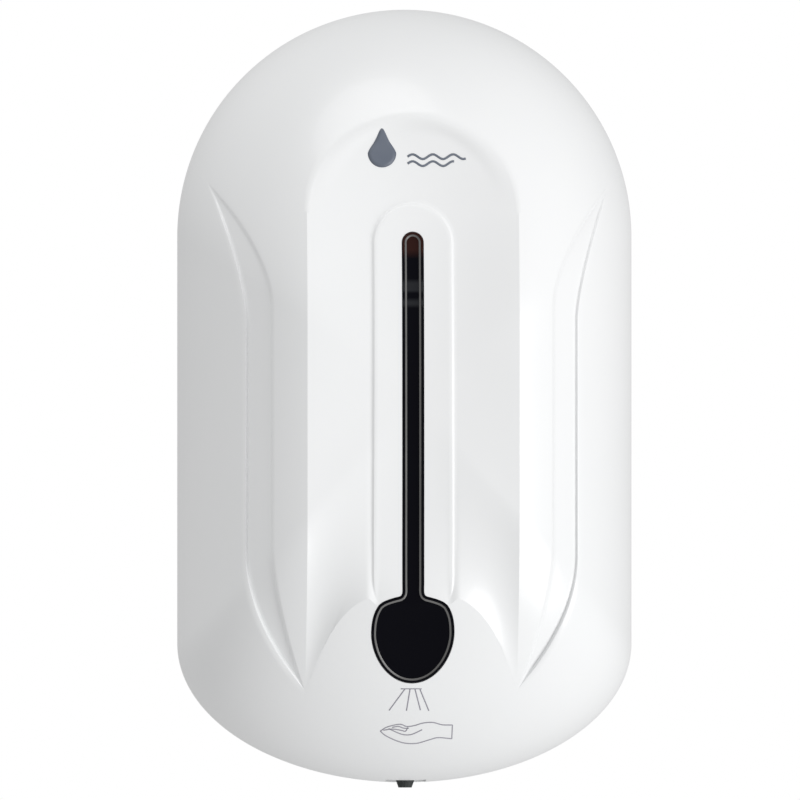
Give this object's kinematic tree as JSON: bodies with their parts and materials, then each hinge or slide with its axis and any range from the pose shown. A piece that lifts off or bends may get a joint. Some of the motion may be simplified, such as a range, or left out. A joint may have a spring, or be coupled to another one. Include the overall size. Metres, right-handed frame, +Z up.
{
  "type": "wall mounted soap dispenser",
  "caption": "Touchless wall soap dispenser with a domed hinged cover, smoked window, refill tank, geared peristaltic pump and battery box.",
  "frame": {"origin": "middle of the back plate's rear face, on the wall", "axes": "+Z up, -Y towards the user, +X to the user's right when facing the front"},
  "size_m": [0.157, 0.1037, 0.2694],
  "materials": {
    "white_abs": "white injection-moulded ABS, high gloss",
    "grey_abs": "light grey moulded ABS, satin",
    "smoked_lens": "smoked black acrylic, polished",
    "steel": "zinc-plated steel",
    "brass": "machined brass",
    "clear_pp": "translucent polypropylene",
    "rubber": "black rubber",
    "silicone": "translucent silicone",
    "acetal": "natural acetal",
    "cell_skin": "printed film over a steel can",
    "board_green": "solder-masked circuit board",
    "dark_abs": "black moulded ABS"
  },
  "bodies": {
    "base": {"back_plate": "white_abs", "battery_box": "white_abs", "battery_door": "white_abs", "tank_shelf": "grey_abs", "pump_housing": "grey_abs", "nozzle_bracket": "grey_abs", "infrared_emitter": "smoked_lens", "infrared_receiver": "smoked_lens", "status_light": "smoked_lens", "hinge_pin_left": "steel", "hinge_pin_right": "steel", "lock_strike": "steel", "lid_hinge_pin": "steel", "idler_shaft": "steel", "motor": "steel", "board_standoff_1": "steel", "board_standoff_2": "steel", "battery_spring_1": "steel", "battery_spring_2": "steel", "battery_spring_3": "steel", "battery_spring_4": "steel", "battery_contact_rear": "steel", "battery_contact_front": "steel", "gearbox_screw_1": "steel", "gearbox_screw_2": "steel", "pump_screw_1": "steel", "pump_screw_2": "steel", "pump_screw_3": "steel", "tank": "clear_pp", "pump_cover": "clear_pp", "duckbill_valve": "rubber", "tank_outlet_seal": "silicone", "pump_tube": "silicone", "inlet_tube": "silicone", "outlet_tube": "silicone", "battery_1": "cell_skin", "battery_2": "cell_skin", "battery_3": "cell_skin", "battery_4": "cell_skin", "sensor_board": "board_green", "gearbox_housing": "dark_abs", "gearbox_cover": "dark_abs", "nozzle": "dark_abs", "switch_body": "dark_abs"},
    "cover": {"front_cover": "white_abs", "window_lens": "smoked_lens"},
    "lock": {"lock_barrel": "steel", "lock_cam": "steel"},
    "lid": {"tank_lid": "grey_abs", "lid_gasket": "silicone"},
    "rotor": {"pump_rotor": "acetal", "rotor_shaft": "steel", "output_gear": "acetal"},
    "roller_1": {"pump_roller_1": "acetal"},
    "roller_2": {"pump_roller_2": "acetal"},
    "roller_3": {"pump_roller_3": "acetal"},
    "idler": {"idler_gear": "acetal"},
    "pinion": {"motor_pinion": "brass"},
    "switch": {"switch_knob": "white_abs"}
  },
  "joints": [
    {"name": "cover_hinge", "type": "hinge", "parent": "base", "child": "cover", "pos_m": [0, -0.0125, -0.1232], "axis": [1, 0, 0], "range_deg": [0, 90]},
    {"name": "lock_turn", "type": "hinge", "parent": "cover", "child": "lock", "pos_m": [0, -0.0135, 0.125], "axis": [0, 0, 1], "range_deg": [0, 90]},
    {"name": "lid_hinge", "type": "hinge", "parent": "base", "child": "lid", "pos_m": [0, -0.0306, 0.0926], "axis": [-1, 0, 0], "range_deg": [0, 95]},
    {"name": "pump_turn", "type": "hinge", "parent": "base", "child": "rotor", "pos_m": [0.018, -0.0544, -0.06], "axis": [0, 1, 0], "continuous": true},
    {"name": "roller_1_turn", "type": "hinge", "parent": "rotor", "child": "roller_1", "pos_m": [0.018, -0.0544, -0.049], "axis": [0, 1, 0], "continuous": true},
    {"name": "roller_2_turn", "type": "hinge", "parent": "rotor", "child": "roller_2", "pos_m": [0.00847, -0.0544, -0.0655], "axis": [0, 1, 0], "continuous": true},
    {"name": "roller_3_turn", "type": "hinge", "parent": "rotor", "child": "roller_3", "pos_m": [0.02753, -0.0544, -0.0655], "axis": [0, 1, 0], "continuous": true},
    {"name": "idler_turn", "type": "hinge", "parent": "base", "child": "idler", "pos_m": [0.038, -0.04, -0.06], "axis": [0, 1, 0], "continuous": true},
    {"name": "motor_turn", "type": "hinge", "parent": "base", "child": "pinion", "pos_m": [0.058, -0.038, -0.06], "axis": [0, 1, 0], "continuous": true},
    {"name": "switch_slide", "type": "slide", "parent": "base", "child": "switch", "axis": [1, 0, 0], "range_m": [0, 0.004]}
  ],
  "couplings": [
    {"joint": "roller_1_turn", "follows": "pump_turn", "ratio": -3.75},
    {"joint": "roller_2_turn", "follows": "pump_turn", "ratio": -3.75},
    {"joint": "roller_3_turn", "follows": "pump_turn", "ratio": -3.75},
    {"joint": "idler_turn", "follows": "pump_turn", "ratio": -3},
    {"joint": "motor_turn", "follows": "pump_turn", "ratio": 9}
  ]
}
